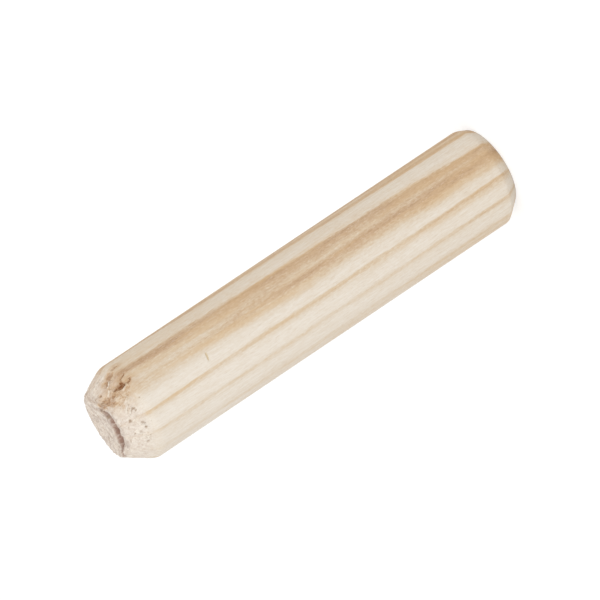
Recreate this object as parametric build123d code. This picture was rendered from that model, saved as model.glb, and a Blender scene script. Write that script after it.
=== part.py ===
from build123d import *
import os
from math import cos, hypot, pi, radians, sin, tan

# A plain round wooden dowel pin, stood on its foot.
# The axis is +Z, the origin is the middle of the foot face, and the front is -Y.
# The foot has a clean chamfer. The top end was cut askew: its face leans, its chamfer is lopsided,
# a ragged slit crosses the face beside the front lip, and fibres are torn out of the chamfer.
# Angles around the pin are measured from the front, towards -X.

# Driving sizes, in millimetres and degrees
PIN_DIAMETER = 8.0
PIN_LENGTH = 38.0  # from the foot face to the highest lip of the torn end

# Foot: chamfered a little more on one side than on the other
FOOT_CHAMFER_LENGTH = 1.0
FOOT_CHAMFER_ANGLE = 32.0  # to the axis
FOOT_CHAMFER_LEAN = 9.5
FOOT_EDGE_RADIUS = 1.6  # softens the edge between body and chamfer
FOOT_RIM_RADIUS = 0.25  # softens the rim of the foot face

# Torn end: chamfer and leaning face
TIP_CHAMFER_LENGTH = 2.2  # along the axis, from the body edge to the face
TIP_CHAMFER_ANGLE = 30.3  # to the axis
TIP_CHAMFER_LEAN = 4.0
TIP_EDGE_RADIUS = 1.2  # softens the edge between body and chamfer
FACE_RISE_FRONT = 7.9  # the face climbs towards the front
FACE_RISE_SIDE = 2.0  # and a little towards -X
DISH_MARGIN = 0.25  # rim left around the shallow hollow of the face
DISH_DEPTH = 0.2

# Ragged slit in the face: angle around the pin, distance in from the lip, half width
SLIT_STATIONS = (
    (-44.0, 1.10, 0.08),
    (-12.0, 0.70, 0.20),
    (24.0, 0.85, 0.16),
    (50.0, 0.50, 0.24),
    (84.0, -0.25, 0.20),
)
SLIT_DEPTH = 0.65
SLIT_FLOOR_SHARE = 0.25  # width of the slit's floor beside its mouth

# Torn pocket down the chamfer, and the narrower gouge beside it
POCKET_ANGLE = -31.0
POCKET_RISE = 1.1  # height of its middle above the body edge
POCKET_LENGTH = 2.5
POCKET_WIDTH = 1.15
POCKET_DEPTH = 0.5
POCKET_SLANT = 17.0
GOUGE_ANGLE = -55.0
GOUGE_RISE = 0.6
GOUGE_LENGTH = 1.5
GOUGE_WIDTH = 0.5
GOUGE_DEPTH = 0.26
GOUGE_SLANT = 14.0

# Outline of a torn hollow: its corners, how uneven they are, and its floor beside its mouth
TEAR_CORNERS = 9
TEAR_UNEVENNESS = 0.16
TEAR_WAVES = 2.4  # how often the unevenness comes and goes round the outline
TEAR_FLOOR_SHARE = 0.45
TEAR_FLOOR_DROP = 0.3  # the floor lies this share of the half length further down the slope

CUT_OVERRUN = 0.3  # how far a cutter stands clear of the surface that it cuts

pin_radius = PIN_DIAMETER / 2
foot_taper = tan(radians(FOOT_CHAMFER_ANGLE))
tip_taper = tan(radians(TIP_CHAMFER_ANGLE))
rise_front = tan(radians(FACE_RISE_FRONT))
rise_side = tan(radians(FACE_RISE_SIDE))
steepest_rise = hypot(rise_front, rise_side)
on_base = (Align.CENTER, Align.CENTER, Align.MIN)


def lip_radius(rise):
    """Distance from the axis to the lip, in a direction in which the face climbs by this rise."""
    return (pin_radius - tip_taper * TIP_CHAMFER_LENGTH) / (1 + tip_taper * rise)


# The lip is highest where the face climbs most steeply, and that height is the pin's length
face_height = PIN_LENGTH - steepest_rise * lip_radius(steepest_rise)
tip_start = face_height - TIP_CHAMFER_LENGTH
face_plane = Plane(
    origin=(0, 0, face_height),
    x_dir=(1, 0, -rise_side),
    z_dir=(rise_side, rise_front, 1),
)


def outwards(angle):
    """Unit vector away from the axis, at an angle from the front towards -X."""
    return Vector(-sin(radians(angle)), -cos(radians(angle)), 0)


def face_rise(angle):
    """How steeply the face climbs away from the axis in one direction."""
    return rise_front * cos(radians(angle)) + rise_side * sin(radians(angle))


def chamfer_envelope(taper, lean):
    """A long slanting cone, as wide as the pin at z = 0 and narrowing upwards, its middle drifting to +X."""
    blunt_radius = pin_radius * 0.1
    height_above = (pin_radius - blunt_radius) / taper
    drift = tan(radians(lean))
    wide_end = Pos(-PIN_LENGTH * drift, 0, -PIN_LENGTH) * Circle(pin_radius + taper * PIN_LENGTH)
    narrow_end = Pos(height_above * drift, 0, height_above) * Circle(blunt_radius)
    return loft([wide_end, narrow_end], ruled=True)


def ring_edges(rod):
    """The closed edges round the rod, from the foot upwards."""
    return rod.edges().filter_by(lambda edge: edge.is_closed).sort_by(Axis.Z)


def turned_blank():
    """The round rod with its two chamfers and the leaning face, and its edges softened."""
    rod = Cylinder(pin_radius, PIN_LENGTH, align=on_base)
    foot_envelope = Rot(180, 0, 0) * chamfer_envelope(foot_taper, FOOT_CHAMFER_LEAN)
    rod &= Pos(0, 0, FOOT_CHAMFER_LENGTH) * foot_envelope
    rod &= Pos(0, 0, tip_start) * chamfer_envelope(tip_taper, TIP_CHAMFER_LEAN)
    rod -= face_plane * Box(PIN_DIAMETER * 2, PIN_DIAMETER * 2, PIN_LENGTH, align=on_base)
    rod = fillet([ring_edges(rod)[2]], TIP_EDGE_RADIUS)
    rod = fillet([ring_edges(rod)[1]], FOOT_EDGE_RADIUS)
    return fillet([ring_edges(rod)[0]], FOOT_RIM_RADIUS)


def face_hollow():
    """The shallow dish of the end face, as a ball that dips into it."""
    dish_radius = lip_radius(steepest_rise) - DISH_MARGIN
    ball_radius = (dish_radius**2 + DISH_DEPTH**2) / (2 * DISH_DEPTH)
    return face_plane * Pos(0, 0, ball_radius - DISH_DEPTH) * Sphere(ball_radius)


def slit_outline(share):
    """Corners of the ragged slit in the face's own plane, with its half width times a share."""
    middle = []
    for angle, inset, half_width in SLIT_STATIONS:
        reach = lip_radius(face_rise(angle)) - inset
        middle.append(outwards(angle) * reach)
    one_side = []
    other_side = []
    last = len(middle) - 1
    for i, (angle, inset, half_width) in enumerate(SLIT_STATIONS):
        along = (middle[min(i + 1, last)] - middle[max(i - 1, 0)]).normalized()
        across = Vector(-along.Y, along.X, 0) * half_width * share
        one_side.append(middle[i] + across)
        other_side.append(middle[i] - across)
    return one_side + other_side[::-1]


def slit_cutter():
    """The slit as a wedge, wide at its mouth and narrow at its floor."""
    mouth = Pos(0, 0, CUT_OVERRUN) * make_face(Polyline(*slit_outline(1), close=True))
    floor = Pos(0, 0, -SLIT_DEPTH) * make_face(Polyline(*slit_outline(SLIT_FLOOR_SHARE), close=True))
    return face_plane * loft([mouth, floor], ruled=True)


def tear_outline(half_width, half_length):
    """Corners of an uneven oval."""
    corners = []
    for i in range(TEAR_CORNERS):
        turn = 2 * pi * i / TEAR_CORNERS
        swell = 1 + TEAR_UNEVENNESS * sin(TEAR_WAVES * turn)
        corners.append((half_width * swell * cos(turn), half_length * swell * sin(turn)))
    return corners


def tear_cutter(angle, rise, length, width, depth, slant):
    """A hollow torn out of the chamfer: an uneven oval at the surface, deepest towards its lower end."""
    radial = outwards(angle)
    spot = radial * (pin_radius - tip_taper * rise) + Vector(0, 0, tip_start + rise)
    normal = radial + Vector(0, 0, tip_taper)
    around = Vector(0, 0, 1).cross(radial)
    surface = Plane(origin=spot, x_dir=around, z_dir=normal).rotated((0, 0, slant))
    mouth = make_face(Polyline(*tear_outline(width / 2, length / 2), close=True))
    floor_outline = tear_outline(TEAR_FLOOR_SHARE * width / 2, TEAR_FLOOR_SHARE * length / 2)
    floor = make_face(Polyline(*floor_outline, close=True))
    drop = TEAR_FLOOR_DROP * length / 2
    cutter = loft([Pos(0, 0, CUT_OVERRUN) * mouth, Pos(0, -drop, -depth) * floor], ruled=True)
    return surface * cutter


def dowel_pin():
    """The whole pin, with the damage of its top end."""
    pin = turned_blank()
    pin -= face_hollow()
    pin -= slit_cutter()
    pin -= tear_cutter(POCKET_ANGLE, POCKET_RISE, POCKET_LENGTH, POCKET_WIDTH, POCKET_DEPTH, POCKET_SLANT)
    pin -= tear_cutter(GOUGE_ANGLE, GOUGE_RISE, GOUGE_LENGTH, GOUGE_WIDTH, GOUGE_DEPTH, GOUGE_SLANT)
    return pin


os.makedirs("parts", exist_ok=True)
export_step(dowel_pin(), "parts/dowel_pin.step")
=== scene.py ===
import math

import bpy
import numpy as np
from mathutils import Matrix, Vector, noise


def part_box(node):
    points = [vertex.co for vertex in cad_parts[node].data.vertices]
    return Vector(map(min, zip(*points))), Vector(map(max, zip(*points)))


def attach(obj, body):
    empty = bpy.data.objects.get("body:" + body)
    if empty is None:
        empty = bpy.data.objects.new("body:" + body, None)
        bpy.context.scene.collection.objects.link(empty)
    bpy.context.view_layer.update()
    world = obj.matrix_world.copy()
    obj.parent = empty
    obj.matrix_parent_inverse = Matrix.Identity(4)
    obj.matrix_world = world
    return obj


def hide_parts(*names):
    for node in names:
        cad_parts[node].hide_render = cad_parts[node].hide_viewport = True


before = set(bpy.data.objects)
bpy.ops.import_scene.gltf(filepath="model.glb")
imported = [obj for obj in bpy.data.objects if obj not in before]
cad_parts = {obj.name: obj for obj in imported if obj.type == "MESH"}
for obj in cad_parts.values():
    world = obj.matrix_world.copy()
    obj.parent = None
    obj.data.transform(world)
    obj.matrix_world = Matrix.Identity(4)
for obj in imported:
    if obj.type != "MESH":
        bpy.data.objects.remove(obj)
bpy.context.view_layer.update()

# The pin stands on its foot, its axis along +Z. Sizes are in millimetres, and MM turns them to metres.
# Angles round the pin are measured from the front (-Y) towards -X.
MM = 0.001
TINY = 1e-6
NODE = "dowel_pin"
BODY = "root"

node_low, node_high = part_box(NODE)
pin_radius = (node_high.x - node_low.x) / 2 / MM
pin_length = node_high.z / MM

# Foot
FOOT_CHAMFER_LENGTH = 1.0
FOOT_TAPER = math.tan(math.radians(32.0))
FOOT_DRIFT = math.tan(math.radians(9.5))
FOOT_TILT = 0.22  # the chamfer starts this much higher towards -X and lower towards +X
FOOT_SOFTNESS = 0.10
FOOT_MARGIN = 0.5  # the finer rings of the foot end this far above its chamfer

# Torn end
TIP_CHAMFER_LENGTH = 2.2
TIP_TAPER = math.tan(math.radians(30.3))
TIP_DRIFT = math.tan(math.radians(4.0))
TIP_SOFTNESS = 0.20
TIP_MARGIN = 1.2  # its finer rings begin this far below its chamfer
RISE_FRONT = math.tan(math.radians(7.9))
RISE_SIDE = math.tan(math.radians(2.0))
DISH_DEPTH = 0.2
DISH_SHARE = 0.9  # of the lip's radius

CONE_OVERRUN = 0.5  # the cones of both chamfers are followed this far past their start
LIP_STEPS = 30  # of the search for the lip, each of which halves the error

steepest_rise = math.hypot(RISE_FRONT, RISE_SIDE)
steepest_lip = (pin_radius - TIP_TAPER * TIP_CHAMFER_LENGTH) / (1 + TIP_TAPER * steepest_rise)
face_height = pin_length - steepest_rise * steepest_lip
tip_start = face_height - TIP_CHAMFER_LENGTH
tip_low = tip_start - TIP_MARGIN
foot_top = FOOT_CHAMFER_LENGTH + FOOT_MARGIN


def directions(count):
    """Unit vectors that point outwards, evenly round the pin."""
    angle = np.arange(count) * 2 * np.pi / count
    return np.column_stack((-np.sin(angle), -np.cos(angle)))


def slanting_radius(outward, drift, circle_radius):
    """Distance from the axis to a circle whose middle has drifted along +X."""
    along = drift * outward[:, 0]
    across = drift * outward[:, 1]
    return along + np.sqrt(np.maximum(circle_radius**2 - across**2, 0))


def soft_minimum(a, b, softness):
    """The smaller of two radii, with the corner between them rounded."""
    overlap = np.maximum(softness - np.abs(a - b), 0) / softness
    return np.minimum(a, b) - overlap**2 * softness / 4


def wall_radius(outward, height):
    """Distance from the axis to the pin's side, chamfers included."""
    below = np.maximum(FOOT_CHAMFER_LENGTH - FOOT_TILT * outward[:, 0] - height, -CONE_OVERRUN)
    foot = slanting_radius(outward, FOOT_DRIFT * below, pin_radius - FOOT_TAPER * below)
    above = np.maximum(height - tip_start, -CONE_OVERRUN)
    tip = slanting_radius(outward, TIP_DRIFT * above, pin_radius - TIP_TAPER * above)
    wall = soft_minimum(np.full_like(foot, pin_radius), foot, FOOT_SOFTNESS)
    return soft_minimum(wall, tip, TIP_SOFTNESS)


def face_level(x, y):
    """Height of the leaning, slightly hollow end face."""
    reach = np.hypot(x, y) / (steepest_lip * DISH_SHARE)
    hollow = DISH_DEPTH * np.maximum(1 - reach**2, 0)
    return face_height - RISE_FRONT * y - RISE_SIDE * x - hollow


def lip(outward):
    """Distance from the axis and height of the lip, where chamfer and face meet."""
    low = np.full(len(outward), tip_start)
    high = np.full(len(outward), pin_length + 1)
    for _ in range(LIP_STEPS):
        middle = (low + high) / 2
        radius = wall_radius(outward, middle)
        inside = middle < face_level(outward[:, 0] * radius, outward[:, 1] * radius)
        low = np.where(inside, middle, low)
        high = np.where(inside, high, middle)
    return wall_radius(outward, low), low


def side_span(section, outward):
    """Heights between which a section of the pin's side lies."""
    if section == "heel":
        return 0, foot_top
    if section == "body":
        return foot_top, tip_low
    return tip_low, lip(outward)[1]


def ring(section, share, count):
    """Points of one ring of the plain surface."""
    outward = directions(count)
    if section == "foot":
        height = np.zeros(count)
        radius = wall_radius(outward, height) * share
    elif section == "face":
        radius = lip(outward)[0] * share
        height = face_level(outward[:, 0] * radius, outward[:, 1] * radius)
    else:
        low, high = side_span(section, outward)
        height = np.broadcast_to(low + (high - low) * share, count)
        radius = wall_radius(outward, height)
    return np.column_stack((outward * radius[:, None], height))


# A fine nick across the grain of the body, coloured darker as painted shade
NICK_ANGLES = (-8.0, 0.5)
NICK_HEIGHT = 29.2
NICK_LEAN = 0.10  # how much higher its second end lies
NICK_HALF_WIDTH = 0.105
NICK_DEPTH = 0.08
NICK_WALL = 1.3  # how steep its walls are
NICK_RAGGEDNESS = 0.6  # of its outline, beside that of the crevice
NICK_REACH = 0.5  # the finer rings for it reach this far to both sides


def steps(low, high, count):
    """This many shares, evenly from a step past low up to high."""
    return tuple(np.linspace(low, high, count + 1)[1:])


# Rings from the middle of the foot to the middle of the face: section, shares, points in a ring
body_length = tip_low - foot_top
nick_low = (NICK_HEIGHT - NICK_REACH - foot_top) / body_length
nick_high = (NICK_HEIGHT + NICK_REACH - foot_top) / body_length
BODY_SHARES = steps(0, nick_low, 95) + steps(nick_low, nick_high, 21) + steps(nick_high, 1, 13)
BODY_COUNT = 240
TIP_COUNT = 480
RINGS = (
    ("foot", (0.08,), BODY_COUNT // 16),
    ("foot", (0.18, 0.28), BODY_COUNT // 8),
    ("foot", (0.38, 0.48, 0.58), BODY_COUNT // 4),
    ("foot", (0.66, 0.73, 0.80, 0.86), BODY_COUNT // 2),
    ("foot", (0.91, 0.95, 0.98, 1.0), BODY_COUNT),
    ("heel", steps(0, 1, 18), BODY_COUNT),
    ("body", BODY_SHARES, BODY_COUNT),
    ("tip", steps(0, 1, 69), TIP_COUNT),
    ("face", steps(1, 0.55, 24), TIP_COUNT),
    ("face", steps(0.55, 0.3, 14), TIP_COUNT // 2),
    ("face", steps(0.3, 0.15, 7), TIP_COUNT // 4),
    ("face", steps(0.15, 0.07, 4), TIP_COUNT // 8),
    ("face", (0.04,), TIP_COUNT // 16),
)


def bridge(low_start, low_count, high_start, high_count):
    """Faces between two rings, one of which may have a whole number of times the other's points."""
    faces = []
    if low_count == high_count:
        for i in range(low_count):
            j = (i + 1) % low_count
            faces.append((low_start + i, high_start + i, high_start + j, low_start + j))
        return faces
    coarse = min(low_count, high_count)
    times = max(low_count, high_count) // coarse
    fine_is_high = high_count > low_count
    fine_start = high_start if fine_is_high else low_start
    coarse_start = low_start if fine_is_high else high_start
    fine_count = coarse * times
    for i in range(coarse):
        here = coarse_start + i
        following = coarse_start + (i + 1) % coarse
        fine = [fine_start + (i * times + k) % fine_count for k in range(times + 1)]
        turn = (times + 1) // 2
        for k in range(times):
            anchor = here if k < turn else following
            triangle = (anchor, fine[k], fine[k + 1])
            faces.append(triangle if fine_is_high else triangle[::-1])
        closing = (here, fine[turn], following)
        faces.append(closing if fine_is_high else closing[::-1])
    return faces


def plain_surface():
    """Vertices and faces of the undamaged form."""
    points = [np.zeros((1, 3))]
    faces = []
    last_start, last_count, start = None, None, 1
    for section, shares, count in RINGS:
        for share in shares:
            points.append(ring(section, share, count))
            if last_start is None:
                faces += [(0, start + i, start + (i + 1) % count) for i in range(count)]
            else:
                faces += bridge(last_start, last_count, start, count)
            last_start, last_count = start, count
            start += count
    points.append(np.array([[0, 0, face_level(0.0, 0.0)]]))
    faces += [(start, last_start + (i + 1) % last_count, last_start + i) for i in range(last_count)]
    return np.vstack(points), faces


def outwards(angle):
    """Unit vector away from the axis, for an angle in degrees."""
    return np.array([-math.sin(math.radians(angle)), -math.cos(math.radians(angle))])


def on_side(angle, rise):
    """Point on the pin's side, this far above the edge between body and chamfer."""
    outward = outwards(angle)
    height = tip_start + rise
    radius = wall_radius(outward[None, :], np.array([height]))[0]
    return np.array([outward[0] * radius, outward[1] * radius, height])


def on_face(angle, reach):
    """Point on the end face, this far from the axis."""
    x, y = outwards(angle) * reach
    return np.array([x, y, face_level(x, y)])


# Fractal noise for the form: wavelengths along X, Y and Z, octaves, seed
RAGGED = ((0.45, 0.45, 0.7), 4, 11.3)
GRAIN = ((0.55, 0.55, 1.1), 5, 3.7)
CRUMBS = ((0.20, 0.20, 0.30), 3, 41.9)
WAVES = ((1.2, 1.2, 14.0), 3, 21.1)
FIBRES = ((0.30, 0.30, 5.0), 2, 63.7)
WANDER = ((3.5, 3.5, 11.0), 2, 87.3)
FRACTAL_FALLOFF = 0.9  # how fast the octaves weaken
FRACTAL_RATIO = 2.0  # of the frequencies of one octave and the one before


def fractal(points, wavelength, octaves, seed):
    """Fractal noise around 0, one value a point."""
    scaled = (points / np.array(wavelength) + seed).tolist()
    return np.array([noise.fractal(Vector(at), FRACTAL_FALLOFF, FRACTAL_RATIO, octaves) for at in scaled])


def smooth(share):
    """Rises from 0 at 0 to 1 at 1 without a corner, and stays there."""
    share = np.clip(share, 0, 1)
    return share * share * (3 - 2 * share)


def stroke(places, start, end, half_widths):
    """How deep each place lies in a stroke between two points: 1 on its middle line, 0 outside."""
    run = end - start
    along = np.clip((places - start) @ run / (run @ run), 0, 1)
    distance = np.linalg.norm(places - start - along[:, None] * run, axis=1)
    half_width = half_widths[0] + (half_widths[1] - half_widths[0]) * along
    return np.maximum(1 - distance / half_width, 0)


# The crevice behind the front lip, coloured darker as painted shade: angle, reach, half width
CREVICE = (
    (-62, 1.80, 0.14),
    (-42, 1.50, 0.30),
    (-20, 1.55, 0.42),
    (-5, 1.60, 0.46),
    (20, 1.40, 0.42),
    (46, 1.20, 0.40),
    (58, 1.60, 0.42),
    (76, 2.05, 0.34),
    (94, 2.50, 0.26),
)
CREVICE_DEPTH = 0.56
CREVICE_WALL = 2.2  # how steep its walls are
CREVICE_SHADE_FADE = 4.5  # how close to its edge the painted shade comes

# The front lip is broken down: the angles it spans, how wide and how deep
LIP_BREAK = (-44, 74)
LIP_BREAK_FADE = 14
LIP_BREAK_WIDTH = 0.9  # down the chamfer
LIP_BREAK_SLOPE = 0.5  # in the face, from the crevice to the full depth
LIP_BREAK_DEPTH = 0.36

# Fibres torn out of the chamfer. Each has two ends, half widths there, depth and how brown it is
TEARS = (
    # the wide shallow patch beside the front lip
    (on_face(-44, 2.15), on_side(-27, 1.75), (0.42, 0.40), 0.20, 0.85),
    (on_side(-36, 2.10), on_side(-32, 1.50), (0.34, 0.36), 0.23, 0.80),
    (on_side(-24, 1.80), on_side(-15, 1.30), (0.30, 0.34), 0.11, 0.55),
    (on_side(-18, 1.30), on_side(-20, 0.50), (0.36, 0.30), 0.08, 0.48),
    (on_side(-34, 1.45), on_side(-29, 0.95), (0.32, 0.30), 0.16, 0.62),
    (on_side(-28, 1.00), on_side(-24, 0.35), (0.30, 0.26), 0.08, 0.50),
    # the deepest hole, and the hook and the spot below it
    (on_side(-36.5, 1.05), on_side(-34.5, 0.50), (0.17, 0.28), 0.34, 0.95),
    (on_side(-34.5, 0.66), on_side(-32.5, 0.40), (0.25, 0.23), 0.40, 1.00),
    (on_side(-28.5, 0.10), on_side(-33.5, -0.28), (0.09, 0.12), 0.18, 0.90),
    (on_side(-40, 0.30), on_side(-41.5, -0.20), (0.14, 0.11), 0.18, 0.85),
    # the streak higher up the side
    (on_side(-51.5, 1.15), on_side(-55.5, 0.48), (0.25, 0.33), 0.17, 0.95),
    (on_side(-55.5, 0.50), on_side(-61, -0.40), (0.33, 0.14), 0.10, 0.80),
    # the short slit across the lip, and faint furrows beside it
    (on_face(-60, 2.40), on_side(-48, 1.92), (0.05, 0.11), 0.22, 0.80),
    (on_side(-76, 2.05), on_side(-70, 1.10), (0.07, 0.10), 0.07, 0.35),
    (on_side(-66, 1.60), on_side(-62, 0.90), (0.07, 0.10), 0.08, 0.40),
    (on_side(-84, 1.50), on_side(-80, 0.40), (0.08, 0.12), 0.06, 0.30),
)
TEAR_RAGGEDNESS = 1.8  # of their outlines, beside that of the crevice
TEAR_SPREAD = 1.5  # they are this many times as wide as listed
TEAR_WALL = 1.5  # how steep their walls are
TEAR_TINT = 1.45  # how close to their edges the brown comes
TEAR_SMOOTHING = 0.5  # how much of the roughness they take away
HOLLOW_DEPTH = 0.45  # at this depth a place counts as fully hollow, and gets the full painted shade of the deep tears

# Brown tint round the torn places: two ends, half widths there and how brown it is
STAINS = (
    (on_side(-44, 2.0), on_side(-31, 0.2), (0.65, 0.85), 0.40),
    (on_side(-22, 1.7), on_side(-26, -0.3), (0.70, 0.85), 0.45),
    (on_side(-8, 1.9), on_side(-6, 0.6), (0.70, 0.60), 0.20),
    (on_side(-39, 1.3), on_side(-33, 0.0), (1.00, 0.95), 0.85),
    (on_side(-54, 1.2), on_side(-60, -0.5), (0.58, 0.58), 0.80),
)
STAIN_FADE = 1.2  # how close to its edge the tint comes

# Flakes of fibre that stand a little off the chamfer, painted paler as a painted highlight, with a furrow
# of painted shadow below each: two ends
FLAKES = (
    (on_side(-3, 1.40), on_side(-8, 1.05)),
    (on_side(1, 1.25), on_side(-4, 0.86)),
    (on_side(7, 1.62), on_side(3, 1.30)),
    (on_side(13, 1.32), on_side(8, 1.02)),
    (on_side(-14, 1.00), on_side(-18, 0.70)),
    (on_side(36, 1.02), on_side(41, 0.78)),
    (on_side(41, 0.86), on_side(45, 0.60)),
    (on_side(29, 1.35), on_side(33, 1.12)),
    (on_side(20, 0.95), on_side(23, 0.68)),
    (on_side(-27, 0.62), on_side(-31, 0.28)),
    (on_side(-38, 1.62), on_side(-42, 1.28)),
    (on_side(-46, 1.20), on_side(-50, 0.72)),
    (on_side(-66, 1.75), on_side(-70, 1.25)),
)
FLAKE_HALF_WIDTHS = (0.13, 0.06)
FLAKE_RISE = 0.09
FLAKE_WALL = 1.5  # how steep its sides are
FLAKE_SHADOW_OFFSET = np.array([0.03, 0.0, -0.13])  # from a flake to the furrow below it, which carries its painted shadow
FLAKE_FURROW_DEPTH = 0.07
# how dark the painted shadow in the furrow below a flake is, in the pits' colour
FLAKE_SHADOW_TINT = 0.65

# Small pits, darkened with painted shade: place, radius, depth
PITS = (
    (on_side(-1, 0.87), 0.10, 0.09),
    (on_side(2, 0.80), 0.07, 0.07),
    (on_side(11, 1.48), 0.12, 0.10),
    (on_side(5, 1.42), 0.07, 0.06),
    (on_side(27, 0.73), 0.12, 0.13),
    (on_side(48, 0.81), 0.10, 0.09),
    (on_side(44, 0.72), 0.06, 0.05),
    (on_side(43, 1.98), 0.08, 0.07),
    (on_side(31, 1.51), 0.08, 0.07),
    (on_side(17, 1.90), 0.06, 0.06),
    (on_side(-8, 0.10), 0.07, 0.05),
    (on_side(22, 0.20), 0.05, 0.04),
    (on_face(-27, 1.17), 0.12, 0.10),
    (on_face(24, 2.16), 0.10, 0.08),
    (on_side(39, 0.68), 0.06, 0.05),
    (on_side(19, 1.77), 0.05, 0.05),
    (on_side(0, 1.39), 0.06, 0.05),
    (on_side(14, 0.37), 0.05, 0.04),
    (on_face(150, 1.5), 0.11, 0.08),
    (on_face(-120, 1.2), 0.09, 0.07),
    (on_side(120, 1.2), 0.10, 0.09),
    (on_side(-150, 0.9), 0.11, 0.09),
    (on_side(170, 1.6), 0.08, 0.07),
)
PIT_SPREAD = 1.4  # a pit's rim is this many times as wide as listed

RAGGEDNESS = 0.10  # how far the outlines of all damage wander
DAMAGE_REACH = 6.5  # no damage lies further than this below the finer rings of the torn end


def ragged_places(places):
    """Places shifted a little this way and that, so that what is cut there has a ragged outline."""
    wavelength, octaves, seed = RAGGED
    shifts = [fractal(places, wavelength, octaves, seed * axis) for axis in (1, 2, 3)]
    return places + RAGGEDNESS * np.column_stack(shifts)


def crevice_share(ragged):
    """How deep each place lies in the crevice: 1 on its middle line, 0 outside."""
    share = np.zeros(len(ragged))
    for (angle, reach, half_width), following in zip(CREVICE, CREVICE[1:]):
        next_angle, next_reach, next_half_width = following
        start, end = on_face(angle, reach), on_face(next_angle, next_reach)
        share = np.maximum(share, stroke(ragged, start, end, (half_width, next_half_width)))
    return share


def lip_drop(places, ragged):
    """How far the broken lip has dropped, on the chamfer and in the face between lip and crevice."""
    angle = np.degrees(np.arctan2(-ragged[:, 0], -ragged[:, 1]))
    reach = np.hypot(ragged[:, 0], ragged[:, 1])
    outward = ragged[:, :2] / np.maximum(reach, TINY)[:, None]
    lip_radius, lip_height = lip(outward)
    lip_places = np.column_stack((outward * lip_radius[:, None], lip_height))
    below_lip = smooth(1 - np.linalg.norm(ragged - lip_places, axis=1) / LIP_BREAK_WIDTH)
    crevice_angles, crevice_reaches, _ = zip(*CREVICE)
    crevice_reach = np.interp(angle, crevice_angles, crevice_reaches)
    before_crevice = smooth((reach - crevice_reach) / LIP_BREAK_SLOPE)
    on_chamfer = np.hypot(places[:, 0], places[:, 1]) > lip_radius
    share = np.where(on_chamfer, below_lip, before_crevice)
    first, last = LIP_BREAK
    within = smooth((angle - first) / LIP_BREAK_FADE) * smooth((last - angle) / LIP_BREAK_FADE)
    return LIP_BREAK_DEPTH * share * within


def tears(torn_places):
    """Depth of the torn places, and how brown they are."""
    depth = np.zeros(len(torn_places))
    brownness = np.zeros(len(torn_places))
    for start, end, half_widths, tear_depth, brown in TEARS:
        widths = (half_widths[0] * TEAR_SPREAD, half_widths[1] * TEAR_SPREAD)
        inside = stroke(torn_places, start, end, widths)
        depth = np.maximum(depth, tear_depth * smooth(inside * TEAR_WALL))
        brownness = np.maximum(brownness, brown * smooth(inside * TEAR_TINT))
    return depth, brownness


def stains(ragged):
    """How brown each place is round the tears."""
    brownness = np.zeros(len(ragged))
    for start, end, half_widths, brown in STAINS:
        inside = stroke(ragged, start, end, half_widths)
        brownness = np.maximum(brownness, brown * smooth(STAIN_FADE * inside))
    return brownness


def flakes(ragged):
    """How far each place is raised flake, and how far it is the furrow below one, which carries painted
    shadow.
    """
    flake = np.zeros(len(ragged))
    furrow = np.zeros(len(ragged))
    for start, end in FLAKES:
        raised = stroke(ragged, start, end, FLAKE_HALF_WIDTHS)
        flake = np.maximum(flake, smooth(FLAKE_WALL * raised))
        beside = stroke(ragged, start + FLAKE_SHADOW_OFFSET, end + FLAKE_SHADOW_OFFSET, FLAKE_HALF_WIDTHS)
        furrow = np.maximum(furrow, smooth(FLAKE_WALL * beside))
    return flake, furrow * (1 - flake)


def nick_share(places):
    """How far each place is nick."""
    start = np.append(outwards(NICK_ANGLES[0]) * pin_radius, NICK_HEIGHT)
    end = np.append(outwards(NICK_ANGLES[1]) * pin_radius, NICK_HEIGHT + NICK_LEAN)
    return smooth(NICK_WALL * stroke(places, start, end, (NICK_HALF_WIDTH, NICK_HALF_WIDTH)))


def damage(places):
    """Depth of all damage, the lip's drop, and how far each place is crevice, tear, pit and so on;
    crevice, pit and nick are coloured with painted shade, flake with a painted highlight.
    """
    ragged = ragged_places(places)
    shift = ragged - places
    crevice = crevice_share(ragged)
    tear_depth, tear = tears(places + TEAR_RAGGEDNESS * shift)
    flake, furrow = flakes(ragged)
    depth = np.maximum(CREVICE_DEPTH * smooth(crevice * CREVICE_WALL), tear_depth)
    depth = np.maximum(depth, FLAKE_FURROW_DEPTH * furrow)
    # The painted shadow below the flakes takes the pits' dark colour
    pit = FLAKE_SHADOW_TINT * furrow
    for middle, radius, pit_depth in PITS:
        inside = smooth(PIT_SPREAD - np.linalg.norm(ragged - middle, axis=1) / radius)
        depth = np.maximum(depth, pit_depth * inside)
        pit = np.maximum(pit, inside)
    nick = nick_share(places + NICK_RAGGEDNESS * shift)
    return {
        "depth": np.maximum(depth, NICK_DEPTH * nick) - FLAKE_RISE * flake,
        "drop": lip_drop(places, ragged),
        "crevice": smooth(crevice * CREVICE_SHADE_FADE),
        "tear": tear,
        "pit": pit,
        "nick": nick,
        "stain": stains(ragged),
        "flake": flake,
    }


# The surface's own roughness. Heights of what the noise raises
GRAIN_HEIGHT = 0.038
FACE_GRAIN_HEIGHT = 0.032  # more, on the face
CRUMB_HEIGHT = 0.034
FOOT_CRUMB_HEIGHT = 0.010
WAVE_HEIGHT = 0.007
FIBRE_HEIGHT = 0.003
ROUGH_FADE = 0.9  # the rough end grain grows to its full height over this length
ROUGH_LEAD = 0.35  # and has come this share of the way where the chamfer starts
FOOT_ROUGH_HEIGHT = 1.2


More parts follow.
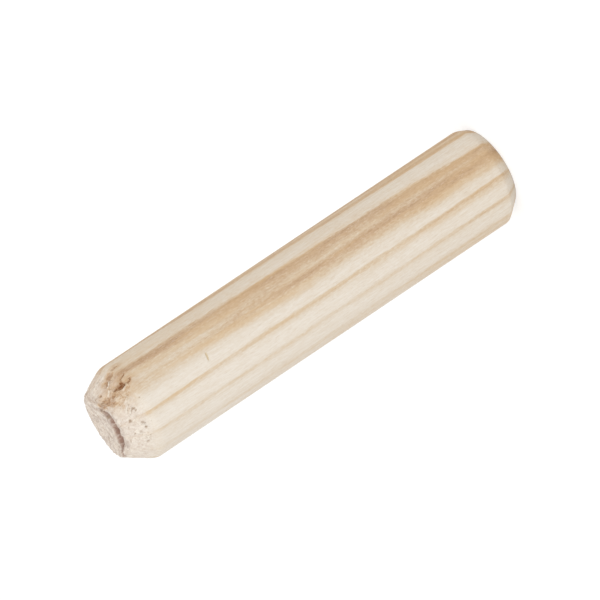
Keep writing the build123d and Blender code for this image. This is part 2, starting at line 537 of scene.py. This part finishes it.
def relief(places):
    """Height of the roughness: end grain at both ends, long soft waves on the body."""
    above = places[:, 2] - tip_start
    radius = np.hypot(places[:, 0], places[:, 1])
    end_grain = smooth(above / ROUGH_FADE + ROUGH_LEAD)
    face = (radius < steepest_lip) & (above > 0)
    crumbs = fractal(places, *CRUMBS)
    rough = end_grain * (GRAIN_HEIGHT + FACE_GRAIN_HEIGHT * face) * fractal(places, *GRAIN)
    rough += end_grain * CRUMB_HEIGHT * crumbs
    long_grain = WAVE_HEIGHT * fractal(places, *WAVES) + FIBRE_HEIGHT * fractal(places, *FIBRES)
    foot = smooth(1 - places[:, 2] / FOOT_ROUGH_HEIGHT)
    return rough + (1 - end_grain) * long_grain + foot * FOOT_CRUMB_HEIGHT * crumbs


# Growth rings. The rings are nearly flat layers, and growth is how far out a place lies across them,
# in pin radii. Their direction turns a little along the pin on the side that the band crosses.
RING_ANGLE = -45.5
RING_CURVE = 15.0  # pin radii from the axis to the tree's pith
RING_WANDER = 0.012
BAND_TURN = -17.9  # degrees, over the length below
BAND_TURN_LENGTH = 30.8
BAND_TURN_START = 2.4
BAND_SIDE = (-140.0, -15.0)  # the angles between which the direction turns
BAND_SIDE_FADES = (50.0, 25.0)

# A ripple in the rings towards the torn end, which leaves a paler strip there
RIPPLE_ANGLE = -25.5
RIPPLE_HALF_WIDTH = 6.5  # degrees
RIPPLE_START = 23.0
RIPPLE_FADE = 6.0
RIPPLE_SIZE = 0.06


def growth(places):
    """How far out each place lies across the rings, which run on unchanged down both chamfers."""
    angle = np.degrees(np.arctan2(-places[:, 0], -places[:, 1]))
    weight = smooth((BAND_SIDE[1] - angle) / BAND_SIDE_FADES[1])
    weight *= smooth((angle - BAND_SIDE[0]) / BAND_SIDE_FADES[0])
    turn = BAND_TURN * (places[:, 2] - BAND_TURN_START) / BAND_TURN_LENGTH * weight
    direction = np.radians(RING_ANGLE + turn)
    radius = np.maximum(np.hypot(places[:, 0], places[:, 1]), TINY)
    rim = wall_radius(places[:, :2] / radius[:, None], np.zeros(len(places)))
    rim[places[:, 2] > tip_low] = steepest_lip
    widened = pin_radius / np.maximum(radius, rim)
    x, y = places[:, 0] * widened, places[:, 1] * widened
    out = (-x * np.sin(direction) - y * np.cos(direction)) / pin_radius
    side = (-x * np.cos(direction) + y * np.sin(direction)) / pin_radius
    bow = np.hypot(out + RING_CURVE, side) - RING_CURVE
    ripple = smooth(1 - np.abs(angle - RIPPLE_ANGLE) / RIPPLE_HALF_WIDTH)
    ripple *= smooth((places[:, 2] - RIPPLE_START) / RIPPLE_FADE)
    return bow + RING_WANDER * fractal(places, *WANDER) - RIPPLE_SIZE * ripple


def plain_normals(points, faces):
    """Normals of the plain form, so that the damage cuts straight in."""
    mesh = bpy.data.meshes.new("plain")
    mesh.from_pydata(points.tolist(), [], faces)
    mesh.update()
    normals = np.empty(len(points) * 3)
    mesh.vertices.foreach_get("normal", normals)
    bpy.data.meshes.remove(mesh)
    return normals.reshape(-1, 3)


# Where the look of end grain and of the face begins
END_GRAIN_LEAD = 0.25  # end grain starts this far below the torn end's chamfer
END_GRAIN_FADE = 1.5
FOOT_GRAIN_HEIGHT = 0.2  # how far it climbs the foot's chamfer
FACE_FADE = 0.40  # the look of the face goes this far down the chamfer


def make_pin():
    """The pin's mesh, with what its material needs to know kept at its vertices."""
    places, faces = plain_surface()
    normals = plain_normals(places, faces)
    near_tip = places[:, 2] > tip_low - DAMAGE_REACH
    marks = {}
    for name, values in damage(places[near_tip]).items():
        marks[name] = np.zeros(len(places))
        marks[name][near_tip] = values
    depth = marks.pop("depth")
    drop = marks.pop("drop")
    height = relief(places) * (1 - TEAR_SMOOTHING * marks["tear"]) - depth
    moved = places + normals * height[:, None]
    moved[:, 2] -= drop
    past_radius = np.hypot(moved[:, 0], moved[:, 1]) / pin_radius
    moved[:, :2] /= np.maximum(past_radius, 1)[:, None]
    moved[:, 2] = np.clip(moved[:, 2], 0, pin_length)
    moved[places[:, 2] < TINY, 2] = 0
    mesh = bpy.data.meshes.new("turned_pin")
    mesh.from_pydata((moved * MM).tolist(), [], faces)
    mesh.polygons.foreach_set("use_smooth", [True] * len(mesh.polygons))
    below_face = face_level(places[:, 0], places[:, 1]) - places[:, 2]
    marks["growth"] = growth(places)
    marks["end_grain"] = smooth((places[:, 2] - tip_start + END_GRAIN_LEAD) / END_GRAIN_FADE)
    marks["face"] = smooth(1 - below_face / FACE_FADE)
    marks["foot_grain"] = smooth(1 - places[:, 2] / FOOT_GRAIN_HEIGHT)
    marks["hollow"] = np.clip(depth / HOLLOW_DEPTH, 0, 1)
    for name, values in marks.items():
        layer = mesh.attributes.new(name, "FLOAT", "POINT")
        layer.data.foreach_set("value", values.astype(np.float32))
    mesh.update()
    return mesh


pin = bpy.data.objects.new("turned_pin", make_pin())
bpy.context.scene.collection.objects.link(pin)
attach(pin, BODY)
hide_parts(NODE)


def linear(red, green, blue):
    """Colour as Blender takes it, from the 0 to 255 values that a screen shows, by the sRGB curve."""
    channels = (red / 255, green / 255, blue / 255)
    return tuple(c / 12.92 if c <= 0.04045 else ((c + 0.055) / 1.055) ** 2.4 for c in channels) + (1.0,)


# How dark the late wood is across the rings: growth, darkness towards the torn end, darkness
# towards the foot, and darkness halfway where that isn't just between the two. Going outwards, a
# ring starts pale, darkens and ends at an edge.
LATE_WOOD = (
    (-1.08, 0.20, 0.35), (-0.99, 0.40, 0.70), (-0.975, 0.05, 0.20), (-0.88, 0.02, 0.12),
    (-0.74, 0.10, 0.22), (-0.68, 0.40, 0.62), (-0.64, 0.10, 0.20), (-0.55, 0.13, 0.34),
    (-0.47, 0.14, 0.40), (-0.36, 0.14, 0.36), (-0.30, 0.22, 0.46), (-0.26, 0.20, 0.38),
    (-0.22, 0.15, 0.22), (-0.14, 0.11, 0.15), (0.00, 0.08, 0.13), (0.09, 0.12, 0.18),
    (0.13, 0.16, 0.28), (0.165, 0.27, 0.50, 0.32), (0.195, 0.28, 0.46, 0.30),
    (0.235, 0.10, 0.15), (0.30, 0.06, 0.11), (0.40, 0.05, 0.12), (0.46, 0.06, 0.20),
    (0.50, 0.13, 0.33), (0.53, 0.24, 0.46, 0.30), (0.556, 0.42, 0.68, 0.44),
    (0.584, 0.42, 0.56, 0.38), (0.606, 0.10, 0.14), (0.65, 0.06, 0.14), (0.70, 0.05, 0.19),
    (0.75, 0.08, 0.33), (0.78, 0.12, 0.46), (0.80, 0.16, 0.60), (0.82, 0.22, 0.72),
    (0.84, 0.30, 0.84), (0.862, 0.38, 0.94, 0.66), (0.882, 0.42, 1.00, 0.84),
    (0.897, 0.46, 0.90, 0.87), (0.905, 0.34, 0.80, 0.76), (0.912, 0.50, 0.72, 0.60),
    (0.920, 0.66, 0.64, 0.50), (0.933, 0.88, 0.62, 0.55), (0.950, 0.96, 0.72, 0.80),
    (0.962, 0.90, 0.86), (0.971, 0.70, 0.80), (0.980, 0.34, 0.28), (1.00, 0.26, 0.14),
)
GROWTH_LOW, GROWTH_HIGH = -1.1, 1.1
LATE_WOOD_SPLIT = 0.35  # a ramp holds at most 32 stops, so the rings are shared between two
BAND_HEIGHTS = (3.0, 18.0, 33.0)  # where the darkness is the foot's, halfway's and the torn end's

WOOD_TONES = (
    (0.00, linear(238, 229, 216)),
    (0.20, linear(230, 217, 199)),
    (0.45, linear(221, 200, 172)),
    (0.70, linear(209, 180, 147)),
    (0.90, linear(200, 168, 135)),
    (1.00, linear(190, 156, 123)),
)
FLECK = linear(250, 241, 226)
PORE = linear(190, 160, 130)
WARM = linear(220, 186, 140)
TORN_PALE = linear(206, 173, 136)
END_GRAIN_TONES = (
    (0.00, linear(222, 205, 189)),
    (0.45, linear(232, 219, 207)),
    (1.00, FLECK),
)
TORN_TONES = (
    (0.30, linear(228, 209, 184)),
    (0.55, TORN_PALE),
    (0.95, linear(172, 134, 102)),
)
# the real brown of torn fibres, darker as painted shade where the holes are deep
TORN_DEEP_SHADE = linear(142, 94, 54)
# painted shade: the colour of the shadow in the crevice
CREVICE_SHADE = linear(160, 123, 106)
# painted shade: the colour of the shadow in the pits and in the furrows below the flakes
PIT_SHADE = linear(165, 138, 112)
FACE_SHADE = linear(226, 221, 220)
# painted shade: the colour of the shadow in the nick
NICK_SHADE = linear(217, 198, 164)

# Noise of the material: size across and along the grain, detail, offset, distortion
PATTERNS = {
    "shiver": (0.7, 9.0, 3.0, 5.0, 0.0),
    "fray": (0.16, 1.1, 2.0, 9.0, 0.0),
    "uneven": (0.6, 6.0, 3.0, 31.0, 0.0),
    "fibre": (0.16, 3.2, 3.0, 13.0, 0.0),
    "fine_fibre": (0.07, 0.8, 2.0, 53.0, 0.0),
    "cloud": (1.0, 3.5, 3.0, 71.0, 0.0),
    "mottle": (0.15, 0.30, 3.0, 191.0, 0.5),
    "fleck": (0.085, 0.34, 1.0, 97.0, 0.8),
    "pore": (0.075, 0.50, 1.0, 131.0, 0.6),
    "warm": (0.8, 10.0, 3.0, 171.0, 0.0),
    "speck": (0.22, 0.62, 5.0, 19.0, 0.8),
    "tick": (0.11, 0.26, 2.0, 151.0, 1.0),
    "ragged": (0.5, 1.2, 3.0, 43.0, 0.0),
    "blotch": (0.42, 0.80, 4.0, 233.0, 0.6),
    "patchy": (0.26, 0.5, 4.0, 29.0, 0.6),
    "shreds": (0.11, 0.34, 4.0, 211.0, 1.2),
    "dull": (0.3, 2.0, 3.0, 59.0, 0.0),
}
PATTERN_MIDDLE = 0.5
PATTERN_ROUGHNESS = 0.55

# How some patterns are stretched: the low and high value, and what these become
STRETCHES = {
    "uneven": (0.25, 0.75, 0.84, 1.14),
    "fleck": (0.60, 0.72, 0.0, 1.0),
    "pore": (0.62, 0.74, 0.0, 1.0),
    "warm": (0.42, 0.66, 0.0, 1.0),
    "speck": (0.30, 0.74, 0.0, 1.0),
    "tick": (0.59, 0.70, 0.0, 1.0),
    "blotch": (0.38, 0.62, 0.0, 0.95),
    "patchy": (0.28, 0.68, 0.35, 1.25),
    "shreds": (0.36, 0.66, -0.22, 0.28),
    "dull": (0.2, 0.8, 0.52, 0.70),
}

# How strong these are: the ring's darkness from and to, and the strengths there
BY_DARKNESS = {
    "mottle": (0.0, 0.7, 0.25, 0.75),
    "fleck": (0.15, 0.6, 0.14, 0.26),
    "warm": (0.12, 0.50, 0.0, 0.42),
}

# How much of the colour below is covered
COVER = {
    "pore": 0.18,
    "tick": 0.65,
    "end_grain": 0.72,
    "foot_grain": 0.35,
    "tear": 0.88,
    "crevice": 0.85,
    "flake": 0.55,
    "pit": 0.7,
}

RING_SHIVER = 0.020
RING_FRAY = 0.018
FIBRE_CONTRAST = 0.32
FINE_FIBRE_CONTRAST = 0.42
CLOUD_CONTRAST = 0.14
END_GRAIN_RAGGEDNESS = 1.0
END_GRAIN_EDGE = (0.05, 1.05)  # where it starts to show, and where it shows in full
TEAR_EDGE = (0.0, 0.60)
DEEP_EDGE = (0.45, 1.0)  # of the hollow's depth
DEEP_TEAR_EDGE = (0.55, 0.95)  # the deep colour, real brown darkened as painted shade, shows in the brownest tears only
END_GRAIN_DULLNESS = 0.14
SPECULAR_LEVEL = 0.35
LATE_WOOD_RISE = 0.3  # the bump of late wood, and of end grain, beside that of the fibres
CRUMB_RISE = 1.6
BUMP_STRENGTH = 0.35
BUMP_DISTANCE = 0.05


class Shader:
    """Builds a material's nodes. Each method returns an output to plug into the next."""

    def __init__(self, name):
        self.material = bpy.data.materials.new(name)
        self.material.use_nodes = True
        self.tree = self.material.node_tree
        self.surface = self.tree.nodes["Principled BSDF"]

    def node(self, kind, inputs=(), **settings):
        """A new node with these settings, its inputs plugged in or set."""
        made = self.tree.nodes.new("ShaderNode" + kind)
        for name, value in settings.items():
            setattr(made, name, value)
        for socket, value in dict(inputs).items():
            self.plug(value, made.inputs[socket])
        return made

    def plug(self, value, socket):
        """Links an output to a socket, or sets a constant there."""
        if isinstance(value, bpy.types.NodeSocket):
            self.tree.links.new(value, socket)
        else:
            socket.default_value = value

    def attribute(self, name):
        """What the mesh keeps at its vertices under this name."""
        return self.node("Attribute", attribute_name=name).outputs["Fac"]

    def place(self):
        """Place on the pin, in metres."""
        return self.node("TexCoord").outputs["Object"]

    def math(self, operation, a, b, clamp=False):
        """One sum, product or the like of two values."""
        return self.node("Math", {0: a, 1: b}, operation=operation, use_clamp=clamp).outputs[0]

    def pattern(self, name):
        """One of PATTERNS as it comes, around its middle."""
        across, along, detail, offset, distortion = PATTERNS[name]
        scale = (1 / across / MM, 1 / across / MM, 1 / along / MM)
        shift = (offset, offset, offset)
        mapping = self.node("Mapping", {"Vector": self.place(), "Scale": scale, "Location": shift})
        inputs = {
            "Vector": mapping.outputs[0],
            "Scale": 1.0,
            "Detail": detail,
            "Roughness": PATTERN_ROUGHNESS,
            "Distortion": distortion,
        }
        return self.node("TexNoise", inputs).outputs["Fac"]

    def swing(self, name, amount):
        """One of PATTERNS, swinging around 0 by an amount."""
        return self.math("MULTIPLY", self.math("SUBTRACT", self.pattern(name), PATTERN_MIDDLE), amount)

    def spread(self, value, low, high, to_low=0.0, to_high=1.0):
        """Stretches the values between low and high, smoothly, and holds them past those."""
        inputs = {"Value": value, 1: low, 2: high, 3: to_low, 4: to_high}
        return self.node("MapRange", inputs, interpolation_type="SMOOTHSTEP").outputs[0]

    def stretched(self, name):
        """One of PATTERNS, stretched as STRETCHES says."""
        return self.spread(self.pattern(name), *STRETCHES[name])

    def cover(self, name, share):
        """A share, times how much this kind covers."""
        return self.math("MULTIPLY", share, COVER[name])

    def ramp(self, value, stops):
        """Colours between these stops."""
        made = self.node("ValToRGB", {"Fac": value})
        elements = made.color_ramp.elements
        while len(elements) < len(stops):
            elements.new(0.5)
        for element, (position, colour) in zip(elements, stops):
            element.position = position
            element.color = colour
        return made.outputs["Color"]

    def between(self, share, a, b):
        """A value between two values."""
        return self.node("Mix", {0: share, 2: a, 3: b}).outputs[0]

    def blend(self, share, a, b, kind="MIX"):
        """A colour between two colours, or the first one blended with the second in another way."""
        made = self.node("Mix", data_type="RGBA", blend_type=kind)
        self.plug(share, made.inputs["Factor"])
        self.plug(a, made.inputs["A"])
        self.plug(b, made.inputs["B"])
        return made.outputs["Result"]


def late_wood(wood, ring, height):
    """Darkness of the rings, which the ramps hold as red, green and blue: torn end, foot, halfway."""
    span = GROWTH_HIGH - GROWTH_LOW
    share = wood.math("DIVIDE", wood.math("SUBTRACT", ring, GROWTH_LOW), span)
    stops = []
    for growth_here, tip, foot, *halfway in LATE_WOOD:
        middle = halfway[0] if halfway else (tip + foot) / 2
        stops.append(((growth_here - GROWTH_LOW) / span, (tip, foot, middle, 1)))
    split = (LATE_WOOD_SPLIT - GROWTH_LOW) / span
    inner = wood.ramp(share, [stop for stop in stops if stop[0] < split])
    outer = wood.ramp(share, [stop for stop in stops if stop[0] >= split])
    both = wood.blend(wood.math("GREATER_THAN", share, split), inner, outer)
    tip, foot, middle = wood.node("SeparateColor", {0: both}).outputs
    low, halfway_up, high = (level * MM for level in BAND_HEIGHTS)
    lower = wood.between(wood.spread(height, low, halfway_up), foot, middle)
    return wood.between(wood.spread(height, halfway_up, high), lower, tip)


def ring_darkness(wood):
    """Darkness of the rings with frayed, shivering edges."""
    ring = wood.math("ADD", wood.attribute("growth"), wood.swing("shiver", RING_SHIVER))
    ring = wood.math("ADD", ring, wood.swing("fray", RING_FRAY))
    height = wood.node("SeparateXYZ", {0: wood.place()}).outputs["Z"]
    return wood.math("MULTIPLY", late_wood(wood, ring, height), wood.stretched("uneven"))


def long_grain_colour(wood, late, fibre):
    """Colour of the wood along the grain, with pale flecks and warmer streaks in the dark wood."""
    mottle = wood.swing("mottle", wood.spread(late, *BY_DARKNESS["mottle"]))
    clouds = wood.math("ADD", wood.swing("cloud", CLOUD_CONTRAST), mottle)
    tone = wood.math("ADD", wood.math("ADD", late, fibre), clouds, clamp=True)
    colour = wood.ramp(tone, WOOD_TONES)
    fleck = wood.spread(late, *BY_DARKNESS["fleck"])
    colour = wood.blend(wood.math("MULTIPLY", wood.stretched("fleck"), fleck), colour, FLECK)
    colour = wood.blend(wood.cover("pore", wood.stretched("pore")), colour, PORE)
    warm = wood.spread(late, *BY_DARKNESS["warm"])
    return wood.blend(wood.math("MULTIPLY", wood.stretched("warm"), warm), colour, WARM)


def with_end_grain(wood, colour, end_share, speck, tick):
    """The colour with end grain over it at both ends, blotched on the face."""
    end_colour = wood.ramp(wood.spread(speck, *STRETCHES["speck"]), END_GRAIN_TONES)
    end_colour = wood.blend(wood.cover("tick", tick), end_colour, PORE)
    colour = wood.blend(end_share, colour, end_colour)
    colour = wood.blend(wood.cover("foot_grain", wood.attribute("foot_grain")), colour, end_colour)
    blotches = wood.math("MULTIPLY", wood.attribute("face"), wood.stretched("blotch"))
    return wood.blend(blotches, colour, FACE_SHADE, "MULTIPLY")


def with_damage(wood, colour):
    """The colour with the browns of the torn places over it, with the painted shade of deep holes,
    crevice, pits and nick, and with the painted highlight of flakes.
    """
    patchy = wood.stretched("patchy")
    shreds = wood.stretched("shreds")
    tear = wood.attribute("tear")

    def patched(share):
        return wood.math("MULTIPLY", share, patchy, clamp=True)

    colour = wood.blend(patched(wood.attribute("stain")), colour, TORN_PALE)
    torn_colour = wood.ramp(wood.math("ADD", tear, shreds), TORN_TONES)
    torn_share = wood.cover("tear", patched(wood.spread(tear, *TEAR_EDGE)))
    colour = wood.blend(torn_share, colour, torn_colour)
    # Painted shade: the brownest tears darken further with their depth
    deep_shade = wood.spread(wood.math("ADD", wood.attribute("hollow"), shreds), *DEEP_EDGE)
    deep_shade = wood.math("MULTIPLY", deep_shade, wood.spread(tear, *DEEP_TEAR_EDGE))
    colour = wood.blend(deep_shade, colour, TORN_DEEP_SHADE)
    # Painted shade in the crevice
    colour = wood.blend(wood.cover("crevice", patched(wood.attribute("crevice"))), colour, CREVICE_SHADE)
    # Painted highlight on the raised flakes
    colour = wood.blend(wood.cover("flake", wood.attribute("flake")), colour, FLECK)
    # Painted shade in the pits and below the flakes
    colour = wood.blend(wood.cover("pit", wood.attribute("pit")), colour, PIT_SHADE)
    # Painted shade in the nick
    return wood.blend(patched(wood.attribute("nick")), colour, NICK_SHADE)


def wood_material():
    """Pale softwood with growth rings, end grain and the colours of the damage."""
    wood = Shader("softwood")
    late = ring_darkness(wood)
    coarse = wood.swing("fibre", FIBRE_CONTRAST)
    fibre = wood.math("ADD", coarse, wood.swing("fine_fibre", FINE_FIBRE_CONTRAST))
    ragged_end = wood.math("ADD", wood.attribute("end_grain"), wood.swing("ragged", END_GRAIN_RAGGEDNESS))
    end_share = wood.cover("end_grain", wood.spread(ragged_end, *END_GRAIN_EDGE))
    speck = wood.pattern("speck")
    tick = wood.stretched("tick")
    colour = long_grain_colour(wood, late, fibre)
    colour = with_end_grain(wood, colour, end_share, speck, tick)
    wood.plug(with_damage(wood, colour), wood.surface.inputs["Base Color"])
    end_dullness = wood.math("MULTIPLY", end_share, END_GRAIN_DULLNESS)
    wood.plug(wood.math("ADD", wood.stretched("dull"), end_dullness), wood.surface.inputs["Roughness"])
    wood.surface.inputs["Specular IOR Level"].default_value = SPECULAR_LEVEL
    crumb_share = wood.math("MULTIPLY", end_share, CRUMB_RISE)
    crumbs = wood.math("MULTIPLY", wood.math("SUBTRACT", speck, tick), crumb_share)
    rise = wood.math("ADD", fibre, wood.math("MULTIPLY", late, LATE_WOOD_RISE))
    rise = wood.math("ADD", rise, crumbs)
    settings = {"Height": rise, "Strength": BUMP_STRENGTH, "Distance": BUMP_DISTANCE * MM}
    wood.plug(wood.node("Bump", settings).outputs[0], wood.surface.inputs["Normal"])
    return wood.material


pin.data.materials.append(wood_material())

# Stage: floor, world, light and camera. Sizes and places are in metres here
WHITE = (1, 1, 1, 1)
FLOOR_HALF = 3.0
FLOOR_PALE = (0.8, 0.8, 0.8, 1)
FLOOR_SHADE_SHARE = (0.5, 0.5, 0.5, 1)  # how much of the shadow the camera sees
FLOOR_GLOW = 0.62
WORLD_LEVEL = 0.90
KEY_POWER = 0.70
KEY_SIZE = 0.5
KEY_PLACE = (-0.10, -0.52, 0.34)

pin_middle = Vector((0, 0, pin_length / 2 * MM))


def seen_directly(tree):
    """1 for the rays that show the background as it is: camera, glossy and transmission rays."""
    path = tree.nodes.new("ShaderNodeLightPath")
    last = path.outputs["Is Camera Ray"]
    for other in ("Is Glossy Ray", "Is Transmission Ray"):
        either = tree.nodes.new("ShaderNodeMath")
        either.operation = "MAXIMUM"
        tree.links.new(last, either.inputs[0])
        tree.links.new(path.outputs[other], either.inputs[1])
        last = either.outputs[0]
    return last


def choose(tree, usual, direct):
    """The direct shader where it is seen directly, and the usual one for all other rays."""
    choice = tree.nodes.new("ShaderNodeMixShader")
    tree.links.new(seen_directly(tree), choice.inputs[0])
    tree.links.new(usual.outputs[0], choice.inputs[1])
    tree.links.new(direct.outputs[0], choice.inputs[2])
    return choice.outputs[0]


def floor_material():
    """Pale, and almost white where the camera sees it, but for a soft shadow."""
    material = bpy.data.materials.new("pale_floor")
    material.use_nodes = True
    tree = material.node_tree
    tree.nodes.clear()
    plain = tree.nodes.new("ShaderNodeBsdfDiffuse")
    plain.inputs["Color"].default_value = FLOOR_PALE
    shaded = tree.nodes.new("ShaderNodeBsdfDiffuse")
    shaded.inputs["Color"].default_value = FLOOR_SHADE_SHARE
    glow = tree.nodes.new("ShaderNodeEmission")
    glow.inputs["Strength"].default_value = FLOOR_GLOW
    white = tree.nodes.new("ShaderNodeAddShader")
    tree.links.new(shaded.outputs[0], white.inputs[0])
    tree.links.new(glow.outputs[0], white.inputs[1])
    output = tree.nodes.new("ShaderNodeOutputMaterial")
    tree.links.new(choose(tree, plain, white), output.inputs[0])
    return material


def make_floor():
    """A plain square under the pin."""
    mesh = bpy.data.meshes.new("floor")
    corners = [(-1, -1), (1, -1), (1, 1), (-1, 1)]
    mesh.from_pydata([(x * FLOOR_HALF, y * FLOOR_HALF, 0) for x, y in corners], [], [(0, 1, 2, 3)])
    mesh.materials.append(floor_material())
    floor = bpy.data.objects.new("floor", mesh)
    bpy.context.scene.collection.objects.link(floor)


def make_world():
    """Even light from all round, and white where it is seen directly."""
    world = bpy.data.worlds.new("studio")
    bpy.context.scene.world = world
    world.use_nodes = True
    tree = world.node_tree
    room = tree.nodes["Background"]
    room.inputs["Color"].default_value = WHITE
    room.inputs["Strength"].default_value = WORLD_LEVEL
    white = tree.nodes.new("ShaderNodeBackground")
    white.inputs["Color"].default_value = WHITE
    white.inputs["Strength"].default_value = 1.0
    tree.links.new(choose(tree, room, white), tree.nodes["World Output"].inputs["Surface"])


def make_key_light():
    """A soft disk light in front of the pin, above it and a little towards -X."""
    lamp = bpy.data.lights.new("soft_key", "AREA")
    lamp.shape = "DISK"
    lamp.size = KEY_SIZE
    lamp.energy = KEY_POWER
    key = bpy.data.objects.new("soft_key", lamp)
    bpy.context.scene.collection.objects.link(key)
    towards = pin_middle - Vector(KEY_PLACE)
    aim = towards.to_track_quat("-Z", "Y").to_matrix().to_4x4()
    key.matrix_world = Matrix.Translation(KEY_PLACE) @ aim


# Camera: the photograph's viewing angle, rolled so that the torn end points to the lower left
ELEVATION = math.radians(22.2)
CAMERA_DISTANCE = 0.95
CAMERA_CLIP = (0.01, 20.0)
SCALE = 13.25  # photograph pixels to a millimetre, at the middle of the pin
IMAGE_WIDTH = 600
SENSOR_WIDTH = 36.0  # millimetres, as Blender takes it
AXIS_ON_IMAGE = (-0.8310, -0.5563)  # direction of the torn end in the photograph, right and up
MIDDLE_ON_IMAGE = (297.6, 299.9)  # where the middle of the pin lies in the photograph, in pixels


def make_camera():
    """The camera, turned and shifted so that the pin lies in the picture as in the photograph."""
    camera = bpy.data.objects.new("camera", bpy.data.cameras.new("camera"))
    bpy.context.scene.collection.objects.link(camera)
    bpy.context.scene.camera = camera
    back = Vector((0, -math.cos(ELEVATION), math.sin(ELEVATION)))
    axis_across = Vector((0, math.sin(ELEVATION), math.cos(ELEVATION)))
    side_across = Vector((1, 0, 0))
    right = AXIS_ON_IMAGE[0] * axis_across + AXIS_ON_IMAGE[1] * side_across
    up = AXIS_ON_IMAGE[1] * axis_across - AXIS_ON_IMAGE[0] * side_across
    offset_right = (MIDDLE_ON_IMAGE[0] - IMAGE_WIDTH / 2) / SCALE * MM
    offset_up = -(MIDDLE_ON_IMAGE[1] - IMAGE_WIDTH / 2) / SCALE * MM
    place = pin_middle - right * offset_right - up * offset_up + back * CAMERA_DISTANCE
    turn = Matrix((right, up, back)).transposed().to_4x4()
    camera.matrix_world = Matrix.Translation(place) @ turn
    camera.data.sensor_width = SENSOR_WIDTH
    camera.data.lens = SCALE / MM * CAMERA_DISTANCE * SENSOR_WIDTH / IMAGE_WIDTH
    camera.data.clip_start, camera.data.clip_end = CAMERA_CLIP


make_floor()
make_world()
make_key_light()
make_camera()
bpy.context.scene.view_settings.view_transform = "Standard"
